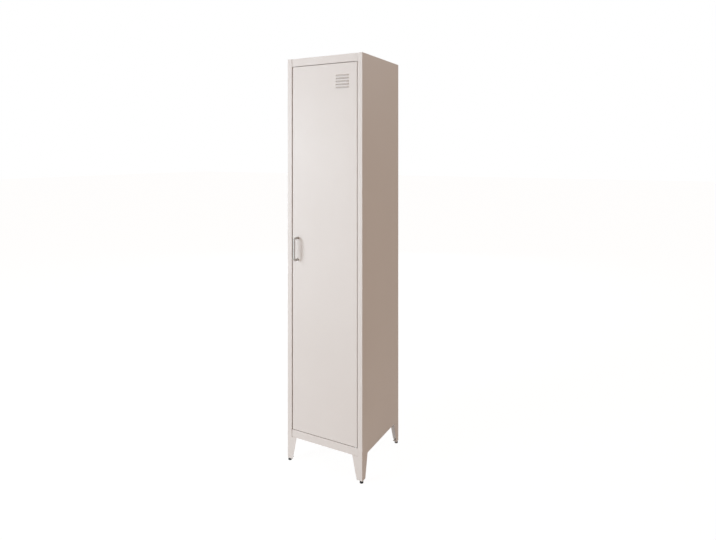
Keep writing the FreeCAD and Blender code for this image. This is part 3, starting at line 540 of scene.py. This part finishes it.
def stud_piece(corner):
    """Threaded stud of a levelling foot, chamfered at its upper end."""
    node = f"{corner}_stud"
    low, high = islands(node)[0]
    middle = (low + high) / 2
    radius = (high.x - low.x) / 2
    depth = radius * 2 * THREAD_DEPTH_SHARE
    length = high.z - low.z
    mesh = bmesh.new()
    foot, shoulder = add_thread(mesh, radius, depth, STUD_PITCH, 0, length - STUD_CHAMFER, STUD_STEPS)
    fill(mesh, foot)
    end = ring(mesh, radius - STUD_CHAMFER, length, STUD_STEPS)
    bridge(mesh, shoulder, end)
    fill(mesh, end)
    bmesh.ops.translate(mesh, verts=mesh.verts, vec=(middle.x, middle.y, low.z))
    finish_piece(mesh, node, f"{corner}_leveller")


# Stage

def area_lamp(name, place, aim, size, power):
    """Round daylight lamp at a place, turned to its aim."""
    lamp = bpy.data.lights.new(name, "AREA")
    lamp.shape = "DISK"
    lamp.size = size
    lamp.energy = power
    lamp.color = DAYLIGHT
    item = bpy.data.objects.new(name, lamp)
    item.location = place
    item.rotation_euler = (aim - place).to_track_quat("-Z", "Y").to_euler()
    bpy.context.scene.collection.objects.link(item)


def seen_directly(nodes, links):
    """One where a ray comes from the camera, a reflection or glass."""
    path = nodes.new("ShaderNodeLightPath")
    total = path.outputs["Is Camera Ray"]
    for name in ("Is Glossy Ray", "Is Transmission Ray"):
        larger = nodes.new("ShaderNodeMath")
        larger.operation = "MAXIMUM"
        links.new(total, larger.inputs[0])
        links.new(path.outputs[name], larger.inputs[1])
        total = larger.outputs["Value"]
    return total


def light_world():
    """White to the eye, and a dim warm fill as light."""
    world = bpy.data.worlds.new("studio")
    world.use_nodes = True
    bpy.context.scene.world = world
    nodes, links = world.node_tree.nodes, world.node_tree.links
    fill_light = nodes["Background"]
    fill_light.inputs["Color"].default_value = (*FILL_COLOUR, 1)
    fill_light.inputs["Strength"].default_value = FILL_STRENGTH
    white = nodes.new("ShaderNodeBackground")
    white.inputs["Color"].default_value = (1, 1, 1, 1)
    white.inputs["Strength"].default_value = 1
    either = nodes.new("ShaderNodeMixShader")
    links.new(seen_directly(nodes, links), either.inputs["Fac"])
    links.new(fill_light.outputs["Background"], either.inputs[1])
    links.new(white.outputs["Background"], either.inputs[2])
    links.new(either.outputs["Shader"], nodes["World Output"].inputs["Surface"])


def lay_floor():
    """Pale floor that lights the locker from below. The eye sees it white, with a faint shadow."""
    bpy.ops.mesh.primitive_plane_add(size=FLOOR_SIZE)
    floor = bpy.context.object
    floor.name = "floor"
    material = bpy.data.materials.new("pale_floor")
    material.use_nodes = True
    nodes, links = material.node_tree.nodes, material.node_tree.links
    nodes.remove(nodes["Principled BSDF"])
    pale = nodes.new("ShaderNodeBsdfDiffuse")
    pale.inputs["Color"].default_value = (*FLOOR_COLOUR, 1)
    shade = nodes.new("ShaderNodeBsdfDiffuse")
    shade.inputs["Color"].default_value = (*FLOOR_SHADE, 1)
    glow = nodes.new("ShaderNodeEmission")
    glow.inputs["Strength"].default_value = FLOOR_GLOW
    shown = nodes.new("ShaderNodeAddShader")
    links.new(shade.outputs["BSDF"], shown.inputs[0])
    links.new(glow.outputs["Emission"], shown.inputs[1])
    either = nodes.new("ShaderNodeMixShader")
    links.new(seen_directly(nodes, links), either.inputs["Fac"])
    links.new(pale.outputs["BSDF"], either.inputs[1])
    links.new(shown.outputs["Shader"], either.inputs[2])
    links.new(either.outputs["Shader"], nodes["Material Output"].inputs["Surface"])
    floor.data.materials.append(material)


def light_stage():
    """Lamps round the middle of the door, and the world's fill."""
    low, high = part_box("door_skin")
    middle = (low + high) / 2
    for name, (distance, turn, rise, size, power) in LAMPS.items():
        turn, rise = math.radians(turn), math.radians(rise)
        level = distance * math.cos(rise)
        away = Vector((level * math.sin(turn), -level * math.cos(turn), distance * math.sin(rise)))
        area_lamp(name, middle + away, middle, size, power)
    light_world()


def aim_camera():
    """Level camera of the photograph. Its shift sets the horizon's row."""
    lens = bpy.data.cameras.new("camera")
    lens.sensor_width = SENSOR_MM
    lens.lens = FOCAL_PIXELS / IMAGE_WIDTH * SENSOR_MM
    lens.shift_y = (HORIZON_ROW - IMAGE_HEIGHT / 2) / IMAGE_WIDTH
    camera = bpy.data.objects.new("camera", lens)
    camera.location = CAMERA_PLACE
    camera.rotation_euler = (CAMERA_LEVEL, 0, CAMERA_YAW)
    bpy.context.scene.collection.objects.link(camera)
    bpy.context.scene.camera = camera


dress_nodes()
screw_piece("back_screws", "case", REAR, SMALL_SCREW, TAPPING_PITCH)
screw_piece("catch_screws", "case", REAR, SMALL_SCREW, TAPPING_PITCH)
screw_piece("shelf_screws", "case", UP, SMALL_SCREW, TAPPING_PITCH)
screw_piece("frame_screws", "case", towards_middle, SMALL_SCREW, TAPPING_PITCH)
screw_piece("handle_screws", "door", REAR, SMALL_SCREW, MACHINE_PITCH)
screw_piece("leg_screws", "case", -UP, LARGE_SCREW, LARGE_PITCH, "socket")
nut_piece("leg_nuts", "case", LARGE_SCREW)
for corner in ("front_left", "front_right", "rear_left", "rear_right"):
    stud_piece(corner)
lay_floor()
light_stage()
aim_camera()
bpy.context.scene.view_settings.view_transform = "Standard"
